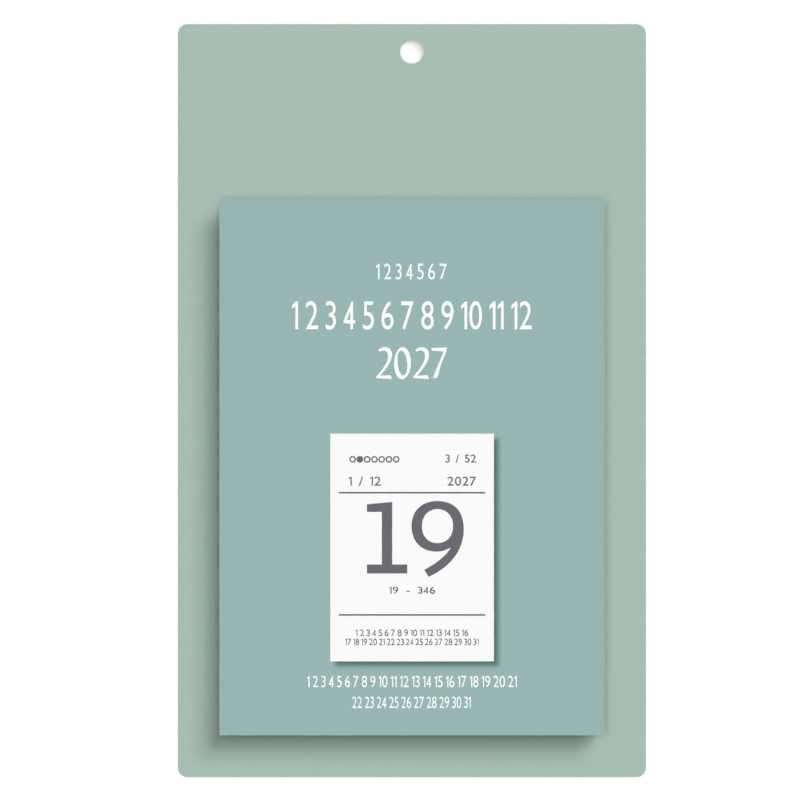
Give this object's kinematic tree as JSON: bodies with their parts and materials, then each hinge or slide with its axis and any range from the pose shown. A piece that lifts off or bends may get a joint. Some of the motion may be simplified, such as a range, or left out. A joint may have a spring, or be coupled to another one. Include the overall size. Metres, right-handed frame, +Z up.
{
  "type": "tear off day calendar",
  "caption": "Wall-hung tear-off day calendar: a thick pad of day leaves under a printed cover, glued at its top edge, on a round-cornered board with a punched hang hole.",
  "frame": {"origin": "middle of the hang hole on the board's back face, which lies on the wall", "axes": "+X to the right as the calendar is read, +Y into the wall, +Z up"},
  "size_m": [0.097, 0.0226, 0.156],
  "materials": {
    "board_print": "matte",
    "greyboard": "matte",
    "lining_paper": "matte",
    "tape": "satin",
    "padding_glue": "satin",
    "leaf_paper": "matte",
    "cover_print": "matte"
  },
  "bodies": {
    "board_and_pad": {"board_lining": "lining_paper", "board_core": "greyboard", "board_facing": "board_print", "upper_tape": "tape", "lower_tape": "tape", "pad_back_card": "greyboard", "pad_glue_film": "padding_glue", "january_leaves": "leaf_paper", "february_leaves": "leaf_paper", "march_leaves": "leaf_paper", "april_leaves": "leaf_paper", "may_leaves": "leaf_paper", "june_leaves": "leaf_paper", "july_leaves": "leaf_paper", "august_leaves": "leaf_paper", "september_leaves": "leaf_paper", "october_leaves": "leaf_paper", "november_leaves": "leaf_paper", "december_leaves": "leaf_paper"},
    "cover_hinge": {"cover_glue_line": "padding_glue"},
    "cover": {"cover_leaf": "cover_print"},
    "january_01_leaf": {"january_01_leaf": "leaf_paper"},
    "january_02_leaf": {"january_02_leaf": "leaf_paper"},
    "january_03_leaf": {"january_03_leaf": "leaf_paper"},
    "january_04_leaf": {"january_04_leaf": "leaf_paper"},
    "january_05_leaf": {"january_05_leaf": "leaf_paper"},
    "january_06_leaf": {"january_06_leaf": "leaf_paper"},
    "january_07_leaf": {"january_07_leaf": "leaf_paper"}
  },
  "joints": [
    {"name": "cover_flip", "type": "hinge", "parent": "board_and_pad", "child": "cover_hinge", "pos_m": [0, -0.02233, -0.03075], "axis": [-1, 0, 0], "range_deg": [0, 180]},
    {"name": "cover_tear_off", "type": "slide", "parent": "cover_hinge", "child": "cover", "axis": [0, 0, -1], "range_m": [0, 0.13]},
    {"name": "january_01_tear_off", "type": "slide", "parent": "board_and_pad", "child": "january_01_leaf", "axis": [0, 0, -1], "range_m": [0, 0.13]},
    {"name": "january_02_tear_off", "type": "slide", "parent": "board_and_pad", "child": "january_02_leaf", "axis": [0, 0, -1], "range_m": [0, 0.13]},
    {"name": "january_03_tear_off", "type": "slide", "parent": "board_and_pad", "child": "january_03_leaf", "axis": [0, 0, -1], "range_m": [0, 0.13]},
    {"name": "january_04_tear_off", "type": "slide", "parent": "board_and_pad", "child": "january_04_leaf", "axis": [0, 0, -1], "range_m": [0, 0.13]},
    {"name": "january_05_tear_off", "type": "slide", "parent": "board_and_pad", "child": "january_05_leaf", "axis": [0, 0, -1], "range_m": [0, 0.13]},
    {"name": "january_06_tear_off", "type": "slide", "parent": "board_and_pad", "child": "january_06_leaf", "axis": [0, 0, -1], "range_m": [0, 0.13]},
    {"name": "january_07_tear_off", "type": "slide", "parent": "board_and_pad", "child": "january_07_leaf", "axis": [0, 0, -1], "range_m": [0, 0.13]}
  ]
}
